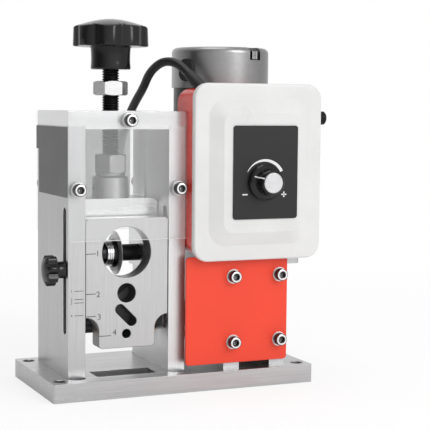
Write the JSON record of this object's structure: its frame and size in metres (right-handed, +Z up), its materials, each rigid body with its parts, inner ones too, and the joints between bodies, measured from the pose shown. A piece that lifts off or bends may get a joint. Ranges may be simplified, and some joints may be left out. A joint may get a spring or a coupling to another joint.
{
  "type": "wire stripping machine",
  "caption": "Bench wire stripper: a star knob screw lowers a round blade onto a fluted feed roller driven by a worm-geared motor with a speed dial.",
  "frame": {"origin": "centre of the base plate's underside, at the level of the bench", "axes": "+Z up along the adjusting screw, +Y away from the operator, +X towards the motor side"},
  "size_m": [0.2356, 0.2411, 0.253],
  "materials": {
    "brushed_aluminium": "fine brushed, silver anodised",
    "machined_steel": "turned and ground",
    "dark_thread_steel": "dark oiled",
    "zinc_screws": "bright zinc",
    "bearing_bronze": "machined bronze",
    "clear_acrylic": "clear, slightly hazy sheet",
    "black_knob": "glossy black moulding",
    "black_plastic": "satin black moulding",
    "white_box": "smooth white",
    "red_box": "red enamel on folded sheet",
    "red_plate": "red enamel",
    "silver_insert": "spun bright",
    "motor_wrap": "black wrap on steel",
    "motor_cap_grey": "metallic grey",
    "black_rubber": "matte",
    "cable_black": "matte vinyl",
    "red_polyurethane": "satin",
    "laminated_iron": "stacked sheets with copper windings",
    "commutator_copper": "segmented copper",
    "ferrite": "dull sintered",
    "carbon": "dull",
    "circuit_board": "green board"
  },
  "bodies": {
    "frame": {"base_plate": "brushed_aluminium", "left_upright": "brushed_aluminium", "right_upright": "brushed_aluminium", "top_bar": "brushed_aluminium", "front_guard": "clear_acrylic", "rear_guard": "clear_acrylic", "panel_screws": "zinc_screws", "panel_washers": "zinc_screws", "top_screws": "zinc_screws", "flat_screws": "zinc_screws", "gear_plates": "brushed_aluminium", "motor_plate": "brushed_aluminium", "footstep_block": "brushed_aluminium", "red_cover_plate": "red_plate", "shaft_bushes": "bearing_bronze", "control_box": "red_box", "box_lid": "white_box", "control_panel": "black_plastic", "potentiometer": "machined_steel", "speed_controller": "circuit_board", "fuse_holder": "black_plastic", "box_screws": "zinc_screws", "motor_housing": "motor_wrap", "motor_cap": "motor_cap_grey", "motor_magnets": "ferrite", "motor_bearings": "machined_steel", "brush_holder": "black_plastic", "motor_brushes": "carbon", "cable_grommet": "black_rubber", "brush_clip": "machined_steel", "strain_relief": "black_rubber", "mains_lead": "cable_black", "lead_coil": "cable_black", "mains_plug": "black_rubber"},
    "slide": {"slide_block": "brushed_aluminium", "swivel_boss": "machined_steel", "blade_axle": "machined_steel"},
    "blade": {"blade_hub": "black_plastic", "cutting_blade": "machined_steel", "blade_collar": "dark_thread_steel", "blade_washer": "zinc_screws", "blade_nut": "dark_thread_steel"},
    "screw": {"adjusting_screw": "dark_thread_steel", "star_knob": "black_knob"},
    "nut": {"lock_nut": "machined_steel"},
    "guide": {"guide_plate": "brushed_aluminium", "guide_pin": "machined_steel"},
    "side_clamp": {"side_knob": "black_knob", "side_stud": "zinc_screws"},
    "drive": {"roller_shaft": "machined_steel", "gear_shaft": "machined_steel", "feed_roller": "machined_steel", "coupling_hubs": "brushed_aluminium", "coupling_spider": "red_polyurethane", "worm_wheel": "bearing_bronze"},
    "rotor": {"worm_shaft": "machined_steel", "armature": "laminated_iron", "commutator": "commutator_copper"},
    "dial": {"speed_knob": "black_plastic", "knob_insert": "silver_insert"}
  },
  "joints": [
    {"name": "block_slide", "type": "slide", "parent": "frame", "child": "slide", "axis": [0, 0, 1], "range_m": [-0.01, 0.0175]},
    {"name": "screw_turn", "type": "hinge", "parent": "slide", "child": "screw", "pos_m": [-0.039, 0.002, 0.2], "axis": [0, 0, 1], "range_deg": [-2070, 3615]},
    {"name": "lock_nut_run", "type": "slide", "parent": "screw", "child": "nut", "axis": [0, 0, 1], "range_m": [0, 0.0075]},
    {"name": "blade_spin", "type": "hinge", "parent": "slide", "child": "blade", "pos_m": [-0.037, -0.002, 0.092], "axis": [1, 0, 0], "continuous": true},
    {"name": "guide_slide", "type": "slide", "parent": "frame", "child": "guide", "axis": [0, 0, 1], "range_m": [-0.0305, 0.0375]},
    {"name": "side_knob_turn", "type": "hinge", "parent": "guide", "child": "side_clamp", "pos_m": [-0.085, -0.0257, 0.0849], "axis": [1, 0, 0], "range_deg": [-360, 360]},
    {"name": "motor_spin", "type": "hinge", "parent": "frame", "child": "rotor", "pos_m": [0.0533, 0.024, 0.15], "axis": [0, 0, 1], "continuous": true},
    {"name": "drive_spin", "type": "hinge", "parent": "frame", "child": "drive", "pos_m": [-0.037, -0.002, 0.043], "axis": [1, 0, 0], "continuous": true},
    {"name": "speed_knob_turn", "type": "hinge", "parent": "frame", "child": "dial", "pos_m": [0.052, -0.06, 0.143], "axis": [0, 1, 0], "range_deg": [-57, 213]}
  ],
  "couplings": [
    {"joint": "screw_turn", "follows": "block_slide", "rad_per_m": 3590.4},
    {"joint": "drive_spin", "follows": "motor_spin", "ratio": -0.038462}
  ]
}
